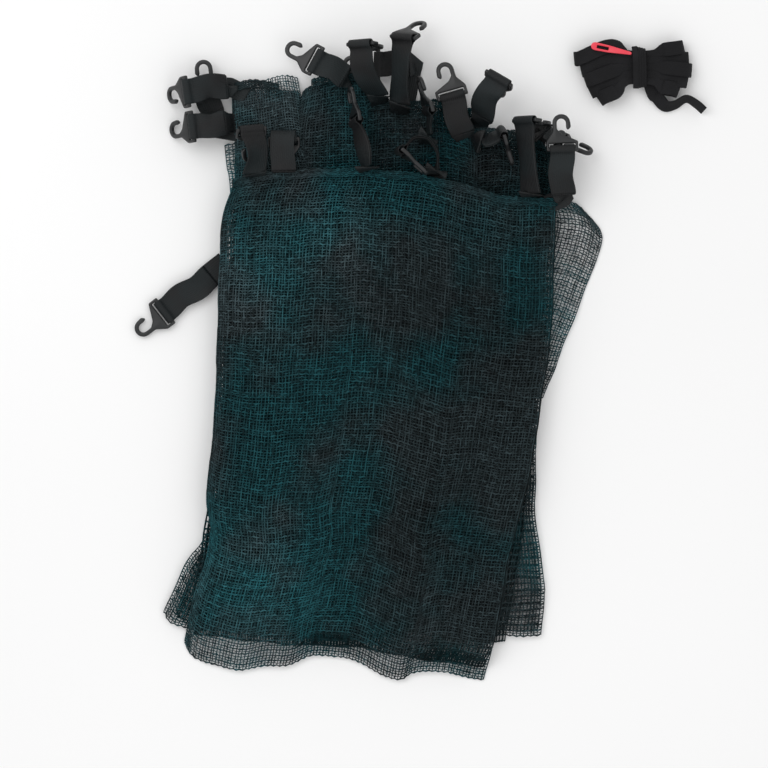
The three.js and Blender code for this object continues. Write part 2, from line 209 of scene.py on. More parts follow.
# Each strap: its seam, then heading, pitch and roll in degrees, its route as (along, up) from the
# seam, the turn of its hook about the eye, and the side that the hook's tip is on
STRAPS = {
    "rear_left_upper": ((-159, 293, 25), (188, 14, 0), [(0, 0), (12, 3), (24, 3), (35, 0)], -54, 1),
    "rear_left_hidden": ((-174, 257, 7), (98, 4, 0), [(0, 0), (12, 1), (24, 1)], 0, 1),
    "rear_left_lower": ((-160, 257, 24), (187, 10, 0), [(0, 0), (10, 2), (20, 2), (28, 0)], -45,
                        -1),
    "rear_left_centre": ((-40, 303, 26), (152, 4, 0), [(0, 0), (10, 2), (20, 2), (28, 0)], -8, -1),
    "rear_centre_low": ((24, 316, 17), (180, 0, 0), [(0, 0), (12, 1), (26, 0)], 0, -1),
    "rear_centre_loop": ((-7, 284, 32), (109, 26, 35), [(0, 0), (20, 5), (40, 7), (54, 2)], -105,
                         1),
    "rear_centre_tall": ((15, 275, 35), (87, 8, 35), [(0, 0), (20, 4), (42, 4), (62, 1)], -58, -1),
    "rear_right_centre": ((78, 247, 18), (106, 6, 0), [(0, 0), (12, 3), (24, 3), (34, 0)], 0, 1),
    "rear_right_edge": ((43, 244, 34), (88, 0, 75), [(0, 0), (10, 0), (20, 0)], 20, -1),
    "rear_right_curl": ((97, 263, 27), (68, 36, 15), [(0, 0), (16, 5), (32, 5), (42, -2)], -112, 1),
    "right_group": ((96, 238, 36), (22, 0, 70), [(0, 0), (9, 0), (18, 0)], -94, 1),
    "right_front_tall": ((145, 186, 40), (95, 5, 42), [(0, 0), (24, 3), (48, 3), (68, 0)], -92, -1),
    "right_end": ((178, 186, 33), (92, 14, 0), [(0, 0), (14, 3), (28, 3), (40, 0)], -10, -1),
    "right_tongue": ((159, 247, 22), (-22, 0, 60), [(0, 0), (6, 0), (12, 0)], 0, 1),
    "front_left": ((-101, 209, 32), (90, 0, 0), [(0, 0), (18, 3), (32, 3), (39, -3), (35, -8)],
                   -46, 1),
    "front_left_loop": ((-130, 206, 34), (92, 14, -20), [(0, 0), (18, 4), (32, 4), (40, -2)], -130,
                        1),
    "front_edge": ((-18, 212, 44), (104, -6, 72), [(0, 0), (14, 1), (28, 1), (42, 0)], 0, 1),
    "front_centre_loop": ((51, 209, 46), (94, 0, 80),
                          [(0, 0), (16, -2), (30, 6), (32, 20), (24, 31)], 99, 1),
    "side_low": ((-175, 105, 5.4), (218, 0, 0), [(0, 0), (18, 2), (36, 1), (54, 0)], 0, -1),
}
# Where the sewn ends reach the net that don't run straight on from their straps
SEWN_TO = {
    "rear_left_upper": (-138, 285), "rear_left_hidden": (-146, 248), "rear_left_centre": (-37, 286),
    "rear_centre_low": (18, 262), "right_tongue": (148, 231), "right_end": (161, 175),
}
# Sewn ends fall to a level between the layers of the front fold, or of the rear folds on a strap whose
# seam is at REAR_FROM or beyond
FRONT_LEVEL, REAR_LEVEL, REAR_FROM = 22.8, 9.0, 220
# How far a sewn end runs back while it falls, and how much farther it goes straight on
SHORT_FALL, LONG_FALL, STRAIGHT_ON = 4, 9, 9
# The share of its width that a sewn end loses as it gathers
GATHERED = 0.25
# Least and most of a strap's uneven lie: its twist in degrees, its sway and its cup in millimetres.
# A strap shorter than FULL_SWAY sways less in proportion
TWIST, SWAY, CUP, FULL_SWAY = (8, 20), (1.2, 2.8), (0.8, 1.8), 40
# How far the side strap bows to one side and then to the other
SIDE_SWAY = 2.6
SIDE_TAIL = [(-175.1, 104.9, 4.8), (-168, 110.6, 4.8), (-159.3, 117.3, 4.8)]

# The hook's plan: bar, slot, plate and J, in millimetres from its bar
BAR, SHOULDER, NECK, PLATE_HALF = 2.0, 8.0, 18.0, 16.0
J_CENTRE, J_OUTER, J_INNER, TIP = 27.0, 8.9, 4.6, 19.5
SLOT_FAR, SLOT_HALF = 6.0, 13.2
EYE_RADIUS, EYE_REACH = 4.1, 4.72

# The hank: its waist, and the ends of its loops on the left and on the right
WAIST = (255.0, 313.0)
LEFT_LOOPS = [(189, 322), (196, 310), (200, 299), (205, 288), (214, 280)]
RIGHT_LOOPS = [(300, 334), (305, 322), (308, 310), (304, 299), (295, 289)]
LACE_TAIL = [(268, 291, 6), (273, 284, 7), (281, 275, 7), (291, 276, 7), (302, 282, 7),
             (312, 277, 7), (320, 270, 7)]
# How the turns lie: the levels of the even and of the odd lanes, low and high at the waist, how far a
# turn bows in each lane on the left and on the right, and the section of the gathered lace there
LANE_LEVELS = ((17.0, 2.6), (14.6, 4.8))
WAIST_LOW, WAIST_HIGH = 5.0, 13.6
LEFT_BENDS, RIGHT_BENDS = (8.0, 4.0, 1.0, -1.5, -3.0), (1.0, 2.0, 0.5, -1.0, -2.0)
GATHERED_LACE = (3.7, 1.1)
# The wrap round the waist: steps in a turn, steps in all, the turn's radii across the hank and
# upward and its centre's level, how far it shifts along the waist, and its section
WRAP_TURN, WRAP_STEPS, WRAP_SHIFT = 12, 43, 4.6
WRAP_ACROSS, WRAP_UP, WRAP_LEVEL, WRAP_LACE = 18.6, 9.3, 10.6, (2.9, 0.5)

# The needle: where its eye end lies, its heading in degrees, then its plan and thickness
NEEDLE_AT, NEEDLE_TURN = (207.0, 334.5, 18.5), -11.6
EYE_END, EYE_END_RADIUS, POINT_AT, POINT_RADIUS = 3, 4, 39, 1.6
NEEDLE_EYE, NEEDLE_THICKNESS, NEEDLE_ROUNDING = (5, 17, 1.6), 2.4, 0.8

# The camera and the floor, in metres: the camera's sensor is in millimetres
SENSOR, VIEW_WIDTH, VIEW_CENTRE, TOP_LEVEL = 36, 0.768, (-0.001, -0.004), 0.02
FLOOR_SIDE, FLOOR_LEVEL = 8, -0.0005


class NetSettings(bpy.types.PropertyGroup):
    """Sizes of the net bundle, all at the real object's scale, and its colours."""

    rib_pitch: bpy.props.FloatProperty(
        name="Rib pitch", description="Distance between the chains of the knit",
        default=0.00315, min=0.001, max=0.02, unit="LENGTH", subtype="DISTANCE")
    row_pitch: bpy.props.FloatProperty(
        name="Row pitch", description="Distance between the rows of inlaid yarn",
        default=0.005, min=0.001, max=0.02, unit="LENGTH", subtype="DISTANCE")
    chain_radius: bpy.props.FloatProperty(
        name="Chain radius", description="Mean radius of a chain of the knit",
        default=0.0006, min=0.0002, max=0.003, unit="LENGTH", subtype="DISTANCE")
    inlay_radius: bpy.props.FloatProperty(
        name="Inlay radius", description="Radius of the yarn that joins the chains",
        default=0.00084, min=0.0002, max=0.003, unit="LENGTH", subtype="DISTANCE")
    webbing_width: bpy.props.FloatProperty(
        name="Webbing width", description="Width of the strap webbing",
        default=0.025, min=0.01, max=0.06, unit="LENGTH", subtype="DISTANCE")
    webbing_thickness: bpy.props.FloatProperty(
        name="Webbing thickness", description="Thickness of one ply of the webbing",
        default=0.0011, min=0.0005, max=0.004, unit="LENGTH", subtype="DISTANCE")
    hook_thickness: bpy.props.FloatProperty(
        name="Hook thickness", description="Thickness of the moulded hooks",
        default=0.004, min=0.002, max=0.008, unit="LENGTH", subtype="DISTANCE")
    lace_width: bpy.props.FloatProperty(
        name="Lace width", description="Width of the flat lace",
        default=0.014, min=0.004, max=0.03, unit="LENGTH", subtype="DISTANCE")
    lace_thickness: bpy.props.FloatProperty(
        name="Lace thickness", description="Thickness of the flat lace",
        default=0.0014, min=0.0005, max=0.004, unit="LENGTH", subtype="DISTANCE")
    camera_height: bpy.props.FloatProperty(
        name="Camera height", description="Height of the camera above the floor",
        default=4.5, min=1.0, max=10.0, unit="LENGTH", subtype="DISTANCE")
    yarn_color: bpy.props.FloatVectorProperty(
        name="Yarn", description="Colour of the net's yarn", subtype="COLOR",
        default=(0.0058, 0.035, 0.041), min=0.0, max=1.0)
    webbing_color: bpy.props.FloatVectorProperty(
        name="Webbing", description="Colour of the strap webbing", subtype="COLOR",
        default=(0.0042, 0.0045, 0.0052), min=0.0, max=1.0)
    hook_color: bpy.props.FloatVectorProperty(
        name="Hooks", description="Colour of the moulded hooks", subtype="COLOR",
        default=(0.0055, 0.006, 0.0068), min=0.0, max=1.0)
    lace_color: bpy.props.FloatVectorProperty(
        name="Lace", description="Colour of the flat lace", subtype="COLOR",
        default=(0.0095, 0.0095, 0.0105), min=0.0, max=1.0)
    needle_color: bpy.props.FloatVectorProperty(
        name="Needle", description="Colour of the threading needle", subtype="COLOR",
        default=(0.80, 0.045, 0.075), min=0.0, max=1.0)
    seed: bpy.props.IntProperty(
        name="Seed", description="Seed of the yarn's uneven tone and spacing", default=7, min=0)


# ---- Curves and surfaces ----


def unit(v):
    """Vectors scaled to length one."""
    return v / np.maximum(np.linalg.norm(v, axis=-1, keepdims=True), 1e-12)


def along(points, shares):
    """Places on a smooth curve through points, at shares of its length.
    Between two points the curve is Catmull and Rom's cubic, whose slope at a point is half the step
    between its neighbours. It is walked in short steps, so that equal shares are equal lengths."""
    p = np.asarray(points, float)
    q = np.vstack([2 * p[0] - p[1], p, 2 * p[-1] - p[-2]])
    t = np.linspace(0, 1, 20, endpoint=False)[None, :, None]
    a, b, c, d = (q[i:len(q) - 3 + i, None] for i in range(4))
    cubic = 2 * b + (c - a) * t + (2 * a - 5 * b + 4 * c - d) * t**2 + (3 * b - a - 3 * c + d) * t**3
    fine = np.vstack([0.5 * cubic.reshape(-1, p.shape[1]), p[-1:]])
    run = np.concatenate([[0], np.cumsum(np.linalg.norm(np.diff(fine[:, :3], axis=0), axis=1))])
    return np.stack([np.interp(np.asarray(shares) * run[-1], run, column) for column in fine.T], -1)


def swell(x, y):
    """The bundle's gentle unevenness, in metres, at places in metres: a sum of slow sine waves in
    several directions, and a crease, a bell curve of the distance from a line. It is the same for
    every layer, so that stacked layers stay apart."""
    (x0, y0), (x1, y1) = CREASE
    dx, dy = x1 - x0, y1 - y0
    run = ((x - x0) * dx + (y - y0) * dy) / (dx**2 + dy**2)
    off = ((x - x0) * dy - (y - y0) * dx) / math.hypot(dx, dy)
    ends = np.clip(4 * run, 0, 1) * np.clip(4 - 4 * run, 0, 1)
    crease = CREASE_HEIGHT * np.exp(-((off / CREASE_REACH) ** 2)) * ends
    for length, turn, start in WAVES:
        phase = 2 * math.pi * (x * math.cos(turn) + y * math.sin(turn)) / length + start
        crease = crease + WAVE_SHARE * length * np.sin(phase)
    return crease


def cloth(edges, levels, fall, reach, pleat, across, down):
    """Points of a folded cloth at places across (0 to the number of layers) and down it (0 to 1).
    Each layer is the patch between four edge curves: the blend of its top and bottom curves, plus the
    blend of its left and right curves, less the blend of its corners. Across runs to and fro over the
    layers, as an accordion fold does. The height is the layer's level, plus the swell and the pleats,
    less a fall near each edge that fades with the square of the distance over its reach. Slow sine
    waves move the chains a little sideways and the rows a little up and down."""
    layer = np.minimum(np.floor(across), len(levels) - 1)
    part = across - layer
    u = np.where(layer % 2 == 0, part, 1 - part)
    knots = np.concatenate([[k + TURN_SHARE, k + (1 - TURN_SHARE)] for k in range(len(levels))])
    level = np.interp(across, knots, np.repeat(levels, 2))
    top, bottom = edges["top"], edges["bottom"]
    left, right = [top[0], *edges["left"], bottom[0]], [top[-1], *edges["right"], bottom[-1]]
    t, b = along(top, u)[:, None], along(bottom, u)[:, None]
    l, r = along(left, down)[None], along(right, down)[None]
    c = [np.asarray(p, float) for p in (top[0], top[-1], bottom[0], bottom[-1])]
    uu, vv = u[:, None, None], down[None, :, None]
    corners = (1 - vv) * ((1 - uu) * c[0] + uu * c[1]) + vv * ((1 - uu) * c[2] + uu * c[3])
    plan = MM * ((1 - vv) * t + vv * b + (1 - uu) * l + uu * r - corners)
    width = MM * np.linalg.norm(c[1] - c[0])
    height = MM * np.linalg.norm(c[2] - c[0])
    gaps = [width * u[:, None], width * (1 - u[:, None]),
            height * down[None], height * (1 - down[None])]
    drop = sum(f * MM * np.exp(-((g / (reach * MM)) ** 2)) for f, g in zip(fall, gaps))
    x, y = plan[..., 0], plan[..., 1]
    x = x + CHAIN_SWAY * np.sin(2 * math.pi * (y / 0.061 + x / 0.19) + 1.0)
    y = y + ROW_SWAY * np.sin(2 * math.pi * (x / 0.047 + y / 0.13) + 2.0 * np.sin(y / 0.03))
    z = MM * level[:, None] + swell(x, y) - drop
    z = z + pleat[0] * MM * np.sin(2 * math.pi * (x + 0.18 * y) / (pleat[1] * MM))
    return np.stack([x, y, np.maximum(z, LOWEST)], -1)


def tubes(paths, normals, radius, sides=3):
    """Many closed round threads at once: rings of points at the radius round each path, each ring
    lying across it, joined by quads and closed by a face at each end.
    Paths and normals are (threads, steps, 3), and radius is (threads, steps)."""
    threads, steps = paths.shape[:2]
    ahead = unit(np.gradient(paths, axis=1))
    side = unit(np.cross(ahead, normals))
    up = np.cross(side, ahead)
    angle = 2 * math.pi * (np.arange(sides) + 0.25) / sides
    spread = np.cos(angle)[:, None] * side[:, :, None] + np.sin(angle)[:, None] * up[:, :, None]
    points = paths[:, :, None] + radius[..., None, None] * spread
    index = np.arange(threads * steps * sides).reshape(threads, steps, sides)
    here, on = index[:, :-1], index[:, 1:]
    quads = np.stack([here, np.roll(here, -1, 2), np.roll(on, -1, 2), on], -1).reshape(-1, 4)
    caps = np.concatenate([index[:, 0, ::-1], index[:, -1]])
    return points.reshape(-1, 3), [quads, caps]


def ribbon(centres, across, half_width, half_thick, cup=0.0):
    """A closed band along a path: a rounded section, whose two coordinates are the cosine and sine
    raised to 0.4, is set across the path at each centre. Its edges rise by the cup, with the square
    of the distance from its middle. Gives points, faces and a map in metres."""
    steps, sides = len(centres), 20
    ahead = unit(np.gradient(centres, axis=0))
    across = unit(across - (across * ahead).sum(-1, keepdims=True) * ahead)
    up = np.cross(ahead, across)
    angle = 2 * math.pi * np.arange(sides) / sides
    x, y = (np.sign(f) * np.abs(f) ** 0.4 for f in (np.cos(angle), np.sin(angle)))
    wide = np.broadcast_to(half_width, steps)[:, None] * x
    thick = np.broadcast_to(half_thick, steps)[:, None] * y
    thick = thick + np.broadcast_to(cup, steps)[:, None] * x**2
    points = centres[:, None] + wide[..., None] * across[:, None] + thick[..., None] * up[:, None]
    index = np.arange(steps * sides).reshape(steps, sides)
    here, on = index[:-1], index[1:]
    quads = np.stack([here, np.roll(here, -1, 1), np.roll(on, -1, 1), on], -1).reshape(-1, 4)
    caps = np.stack([index[0, ::-1], index[-1]])
    run = np.concatenate([[0], np.cumsum(np.linalg.norm(np.diff(centres, axis=0), axis=1))])
    uv = np.stack([wide, np.broadcast_to(run[:, None], wide.shape)], -1)
    return points.reshape(-1, 3), [quads, caps], uv.reshape(-1, 2)


def round_outline(outline, step, passes):
    """A closed outline resampled at even steps, its corners rounded by averaging with neighbours."""
    p = np.asarray(outline, float)
    p = np.vstack([p, p[:1]])
    run = np.concatenate([[0], np.cumsum(np.linalg.norm(np.diff(p, axis=0), axis=1))])
    at = np.linspace(0, run[-1], max(12, round(run[-1] / step)), endpoint=False)
    p = np.stack([np.interp(at, run, column) for column in p.T], -1)
    for _ in range(passes):
        p = (np.roll(p, 1, 0) + 2 * p + np.roll(p, -1, 0)) / 4
    return p


def plate(outline, hole, thickness, rounding):
    """A flat plate with one hole and rounded edges. Each outline is drawn in by r(1 - sin a) at the
    height r(1 - cos a) from a face, for a from 0 to a right angle, and the faces are filled."""
    angle = np.linspace(0, math.pi / 2, 4)
    inset = rounding * (1 - np.sin(angle))
    low = -thickness / 2 + rounding * (1 - np.cos(angle))
    inset, level = np.concatenate([inset, inset[::-1]]), np.concatenate([low, -low[::-1]])
    rings, faces, start = [], [], 0
    for ring in (outline, hole):
        tangent = unit(np.roll(ring, -1, 0) - np.roll(ring, 1, 0))
        outward = np.stack([tangent[:, 1], -tangent[:, 0]], -1)
        flat = ring[None] - inset[:, None, None] * outward[None]
        heights = np.broadcast_to(level[:, None, None], flat.shape[:2] + (1,))
        points = np.concatenate([flat, heights], -1)
        index = start + np.arange(points[..., 0].size).reshape(points.shape[:2])
        here, on = index[:-1], index[1:]
        faces.append(np.stack([here, np.roll(here, -1, 1), np.roll(on, -1, 1), on], -1).reshape(-1, 4))
        rings.append((points, index))
        start += index.size
    flat_ring = [points[0] for points, _ in rings]
    filled = np.array(tessellate_polygon([ring.tolist() for ring in flat_ring]))
    bottom = np.concatenate([index[0] for _, index in rings])[filled]
    top = np.concatenate([index[-1] for _, index in rings])[filled]
    a, b, c = (np.concatenate(flat_ring)[filled[:, k]] for k in range(3))
    if np.cross(b - a, c - a)[:, 2].sum() > 0:
        bottom = bottom[:, ::-1]
    else:
        top = top[:, ::-1]
    points = np.concatenate([points.reshape(-1, 3) for points, _ in rings])
    return points, [np.concatenate(faces), np.concatenate([bottom, top])]


# ---- Objects ----


def solid(name, points, faces, finish, uv=None, tone=None):
    """Makes a smooth mesh object at the origin, turned so that its faces look outward: the signed
    volume, a sixth of the sum of each corner triple's product, is made positive."""
    volume = sum(
        np.einsum("ij,ij->", points[f[:, 0]], np.cross(points[f[:, k]], points[f[:, k + 1]]))
        for f in faces for k in range(1, f.shape[1] - 1)
    )
    if volume < 0:
        faces = [f[:, ::-1] for f in faces]
    loops = np.concatenate([f.ravel() for f in faces])
    sizes = np.concatenate([np.full(len(f), f.shape[1]) for f in faces])
    mesh = bpy.data.meshes.new(name)
    mesh.vertices.add(len(points))
    mesh.vertices.foreach_set("co", points.astype(np.float32).ravel())
    mesh.loops.add(len(loops))
    mesh.loops.foreach_set("vertex_index", loops.astype(np.int32))
    mesh.polygons.add(len(sizes))
    mesh.polygons.foreach_set("loop_start", (np.cumsum(sizes) - sizes).astype(np.int32))
    mesh.polygons.foreach_set("use_smooth", np.ones(len(sizes), bool))
    mesh.update(calc_edges=True)
    if uv is not None:
        mesh.uv_layers.new(name="Weave").data.foreach_set("uv", uv[loops].astype(np.float32).ravel())
    # The tone attribute holds the yarn's random tone and its painted shade and painted highlights
    if tone is not None:
        layer = mesh.attributes.new("tone", "FLOAT", "POINT")
        layer.data.foreach_set("value", tone.astype(np.float32))
    mesh.materials.append(finish)
    obj = bpy.data.objects.new(name, mesh)
    bpy.context.scene.collection.objects.link(obj)
    return obj


def place(obj, body, nodes):
    """Sets a finished piece on its body and the CAD nodes it stands for."""
    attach(obj, body)
    if nodes:
        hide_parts(*nodes)


def settings():
    """The scene's sizes."""
    return bpy.context.scene.net_settings


# ---- Materials ----


def new_group(name, inputs, outputs):
    """A shader node group with named sockets. Gives the group and its input and output nodes."""
    group = bpy.data.node_groups.new(name, "ShaderNodeTree")
    for title, kind, value in inputs:
        socket = group.interface.new_socket(title, in_out="INPUT", socket_type=kind)
        socket.default_value = value
    for title, kind in outputs:
        group.interface.new_socket(title, in_out="OUTPUT", socket_type=kind)
    return group, group.nodes.new("NodeGroupInput"), group.nodes.new("NodeGroupOutput")


def add_node(tree, kind, links=None, **values):
    """Adds a node, sets its properties and constants, and links the sockets given by name."""
    node = tree.nodes.new(kind)
    for key, value in values.items():
        setattr(node, key, value)
    for socket, source in (links or {}).items():
        if isinstance(source, bpy.types.NodeSocket):
            tree.links.new(source, node.inputs[socket])
        else:
            node.inputs[socket].default_value = source
    return node


def uneven_tone():
    """Node group: a colour made lighter and darker, and shifted towards a second colour, by noise
    over the object at a broad and a fine scale."""
    existing = bpy.data.node_groups.get("Uneven tone")
    if existing:
        return existing
    group, given, result = new_group(
        "Uneven tone",
        [("Color", "NodeSocketColor", (0.02, 0.04, 0.04, 1)),
         ("Second", "NodeSocketColor", (0.02, 0.02, 0.02, 1)),
         ("Broad scale", "NodeSocketFloat", 14.0), ("Fine scale", "NodeSocketFloat", 600.0),
         ("Spread", "NodeSocketFloat", 0.3)],
        [("Color", "NodeSocketColor")],
    )
    where = add_node(group, "ShaderNodeTexCoord").outputs["Object"]
    broad = add_node(group, "ShaderNodeTexNoise",
                     {"Vector": where, "Scale": given.outputs["Broad scale"], "Detail": 2.0})
    fine = add_node(group, "ShaderNodeTexNoise",
                    {"Vector": where, "Scale": given.outputs["Fine scale"], "Detail": 2.0})
    mask = add_node(group, "ShaderNodeMapRange",
                    {"Value": broad.outputs["Fac"], "From Min": 0.4, "From Max": 0.6})
    mixed = add_node(group, "ShaderNodeMix", data_type="RGBA")
    group.links.new(mask.outputs["Result"], mixed.inputs["Factor"])
    group.links.new(given.outputs["Color"], mixed.inputs[6])
    group.links.new(given.outputs["Second"], mixed.inputs[7])
    centred = add_node(group, "ShaderNodeMath", {0: fine.outputs["Fac"], 1: 0.5}, operation="SUBTRACT")
    scaled = add_node(group, "ShaderNodeMath",
                      {0: centred.outputs[0], 1: given.outputs["Spread"], 2: 1.0},
                      operation="MULTIPLY_ADD")
    shaded = add_node(group, "ShaderNodeVectorMath",
                      {0: mixed.outputs[2], "Scale": scaled.outputs[0]}, operation="SCALE")
    group.links.new(shaded.outputs["Vector"], result.inputs["Color"])
    return group


def weave():
    """Node group: the height of a woven tape from its map in metres: ribs along it crossed by
    picks over its width, each a raised sine, with the picks shifted by half from rib to rib."""
    existing = bpy.data.node_groups.get("Tape weave")
    if existing:
        return existing
    group, given, result = new_group(
        "Tape weave",
        [("Rib width", "NodeSocketFloat", 0.0016), ("Pick length", "NodeSocketFloat", 0.0012)],
        [("Height", "NodeSocketFloat")],
    )
    where = add_node(group, "ShaderNodeUVMap", uv_map="Weave").outputs["UV"]
    parts = add_node(group, "ShaderNodeSeparateXYZ", {"Vector": where})
    rib = add_node(group, "ShaderNodeMath",
                   {0: parts.outputs["X"], 1: given.outputs["Rib width"]}, operation="DIVIDE")
    pick = add_node(group, "ShaderNodeMath",
                    {0: parts.outputs["Y"], 1: given.outputs["Pick length"]}, operation="DIVIDE")
    shift = add_node(group, "ShaderNodeMath", {0: rib.outputs[0], 1: 0.5, 2: pick.outputs[0]},
                     operation="MULTIPLY_ADD")
    waves = []
    for source in (rib, shift):
        turned = add_node(group, "ShaderNodeMath", {0: source.outputs[0], 1: 2 * math.pi},
                          operation="MULTIPLY")
        waves.append(add_node(group, "ShaderNodeMath", {0: turned.outputs[0]}, operation="SINE"))
    both = add_node(group, "ShaderNodeMath", {0: waves[0].outputs[0], 1: waves[1].outputs[0]})
    group.links.new(both.outputs[0], result.inputs["Height"])
    return group


def finish(name, color, second, roughness, **extra):
    """A material whose colour comes through the uneven tone group. Extra may give that group's
    broad scale and spread, a weave's rib and pick, a gloss, and a grain bump's scale and depth. When
    toned, the colour is also scaled by the mesh's tone attribute, which holds random tone together
    with painted shade and painted highlights."""
    existing = bpy.data.materials.get(name)
    if existing:
        return existing
    material = bpy.data.materials.new(name)
    material.use_nodes = True
    tree = material.node_tree
    shader = tree.nodes["Principled BSDF"]
    tone = tree.nodes.new("ShaderNodeGroup")
    tone.node_tree = uneven_tone()
    tone.inputs["Color"].default_value = (*color, 1)
    tone.inputs["Second"].default_value = (*second, 1)
    tone.inputs["Broad scale"].default_value = extra.get("broad", 14.0)
    tone.inputs["Spread"].default_value = extra.get("spread", 0.5)
    colour = tone.outputs["Color"]
    # The tone attribute scales the colour: random tone, painted shade and painted highlights
    if extra.get("toned"):
        attribute = add_node(tree, "ShaderNodeAttribute", attribute_name="tone")
        colour = add_node(tree, "ShaderNodeVectorMath",
                          {0: colour, "Scale": attribute.outputs["Fac"]}, operation="SCALE").outputs[0]
    tree.links.new(colour, shader.inputs["Base Color"])
    shader.inputs["Roughness"].default_value = roughness
    shader.inputs["Specular IOR Level"].default_value = extra.get("specular", 0.5)
    if "weave" in extra:
        pattern = tree.nodes.new("ShaderNodeGroup")
        pattern.node_tree = weave()
        pattern.inputs["Rib width"].default_value = extra["weave"][0]
        pattern.inputs["Pick length"].default_value = extra["weave"][1]
        height, depth = pattern.outputs["Height"], 0.00012
    else:
        where = add_node(tree, "ShaderNodeTexCoord").outputs["Object"]
        grain = add_node(tree, "ShaderNodeTexNoise",
                         {"Vector": where, "Scale": extra.get("grain", 900.0), "Detail": 3.0})
        height, depth = grain.outputs["Fac"], extra.get("depth", 0.0001)
    bump = add_node(tree, "ShaderNodeBump", {"Height": height, "Strength": 0.6, "Distance": depth})
    tree.links.new(bump.outputs["Normal"], shader.inputs["Normal"])
    return material


def yarn_finish():
    """Dark green-blue polyethylene yarn, in places nearly black."""
    return finish("Net yarn", settings().yarn_color, (0.0168, 0.0257, 0.0285), 0.6,
                  toned=True, broad=11.0, spread=0.9, specular=0.09)


def webbing_finish():
    """Black woven polypropylene webbing."""
    return finish("Webbing", settings().webbing_color, (0.0045, 0.0085, 0.0098), 0.55,
                  weave=(0.0021, 0.0013), specular=0.3, broad=22.0)


def hook_finish():
    """Black moulded nylon, slightly glossy."""
    return finish("Hook nylon", settings().hook_color, (0.007, 0.0085, 0.0095), 0.4,
                  broad=30.0, spread=0.2, grain=1400.0, depth=0.00005)


def lace_finish():
    """Black flat knitted lace."""
    return finish("Lace", settings().lace_color, (0.013, 0.013, 0.0145), 0.85,
                  weave=(0.0017, 0.0015), specular=0.2, broad=28.0)


def needle_finish():
    """Red moulded plastic."""
    return finish("Needle red", settings().needle_color, (0.85, 0.075, 0.105), 0.35,
                  broad=40.0, spread=0.15, depth=0.00004)


# ---- The net ----


def knit(name, spec, row_pitch):
    """A knitted net over a folded cloth. Chains run down it at the rib pitch, and rows of inlay run
    across it, their joints a little up and down by turns. Spec is (edges, levels, fineness, fall,
    reach, pleat, (pale, yarn)): at fineness 1 a thinner row runs between every two rows, and pale and
    yarn scale the tone and the thickness; on the folds under the front and the rear centre and right
    folds, pale holds painted shade. The layers under the first get painted shade, and the front fold
    gets painted highlights and painted shade in spots. Gives the object, its width and its length."""
    edges, levels, fineness, fall, reach, pleat, (pale, yarn) = spec
    size = settings()
    chance = np.random.default_rng(size.seed + sum(map(ord, name)))
    top, bottom = (np.asarray(edges[k], float) * MM for k in ("top", "bottom"))
    spans = [np.linalg.norm(np.diff(p, axis=0), axis=1).sum() for p in (top, bottom)]
    side = np.array([top[0], *(np.asarray(edges["left"], float) * MM), bottom[0]])
    width, length = sum(spans) / 2, np.linalg.norm(np.diff(side, axis=0), axis=1).sum()
    ribs, rows = max(4, round(width / size.rib_pitch)), max(3, round(length / row_pitch))
    count = ribs * len(levels)
    start = chance.uniform(0.2, 0.8)
    across = (np.arange(count) + start + chance.uniform(-CHAIN_OFF, CHAIN_OFF, count)) / ribs
    down = np.linspace(0, 1, rows + 1)
    down[1:-1] += chance.uniform(-ROW_OFF, ROW_OFF, rows - 1) / rows
    grid = cloth(edges, levels, fall, reach, pleat, across, down)
    downward = unit(np.gradient(grid, axis=1))
    sideways = unit(np.gradient(grid, axis=0))
    normals = unit(np.cross(sideways, downward))
    normals *= np.sign(normals[..., 2:] + 1e-9)
    wander = np.cumsum(chance.normal(0, 1, grid.shape[:2]), axis=1)
    wander -= np.linspace(0, 1, rows + 1)[None] * wander[:, -1:]
    wander = wander * WANDER / max(1e-9, wander.std()) + chance.normal(0, JITTER, wander.shape)
    part = across % 1
    wander *= np.clip(np.minimum(part, 1 - part) * ribs / 6, 0.2, 1)[:, None]
    chains = grid + sideways * wander[..., None]
    thick = yarn * size.chain_radius * chance.uniform(0.75, 1.25, grid.shape[:2])
    points, faces = tubes(chains, normals, thick)
    step = np.where(np.arange(count) % 2 == 0, JOINT_STEP, -JOINT_STEP)[:, None, None]
    inlay, heavy = chains + step * downward - INLAY_DEPTH * normals, np.ones(rows + 1)
    if fineness == 1:
        between = (chains[:, 1:] + chains[:, :-1]) / 2 - step * downward[:, 1:]
        inlay = np.concatenate([inlay, between], axis=1)
        normals = np.concatenate([normals, normals[:, 1:]], axis=1)
        heavy = np.concatenate([heavy, np.full(rows, THIN_ROW)])
    uneven = chance.uniform(0.7, 1.3, (len(heavy), count))
    radius = yarn * size.inlay_radius * heavy[:, None] * uneven
    more, extra = tubes(np.swapaxes(inlay, 0, 1), np.swapaxes(normals, 0, 1), radius)
    chain_tone = chance.uniform(0.75, 1.25, (count, 1)) * chance.uniform(0.45, 1.95, grid.shape[:2])
    inlay_tone = chance.uniform(0.45, 2.2, radius.shape)
    # Painted shade: every layer under a fold's first is darker, as the lower layers lie in shadow
    deep = np.where(across < 1, 1.0, UNDER_SHADE)
    chain_tone, inlay_tone = chain_tone * deep[:, None], inlay_tone * deep[None]
    # pale scales each fold's tone; on the folds under the front and the rear centre and right folds it
    # is painted shade
    shade = pale * np.repeat(np.concatenate([chain_tone.ravel(), inlay_tone.ravel()]), 3)
    faces += [f + len(points) for f in extra]
    points = np.concatenate([points, more])
    # Painted highlights and painted shade in spots on the front fold
    if name.startswith("front"):
        for change, spots in ((HIGHLIGHT_GAIN, PAINTED_HIGHLIGHTS), (SHADE_GAIN, PAINTED_SHADE_SPOTS)):
            for x, y, r in spots:
                away = (points[:, 0] - x) ** 2 + (points[:, 1] - y) ** 2
                shade = shade * (1 + change * np.exp(-away / r**2))
    obj = solid(name, points, faces, yarn_finish(), tone=shade)
    return obj, width * len(levels), length


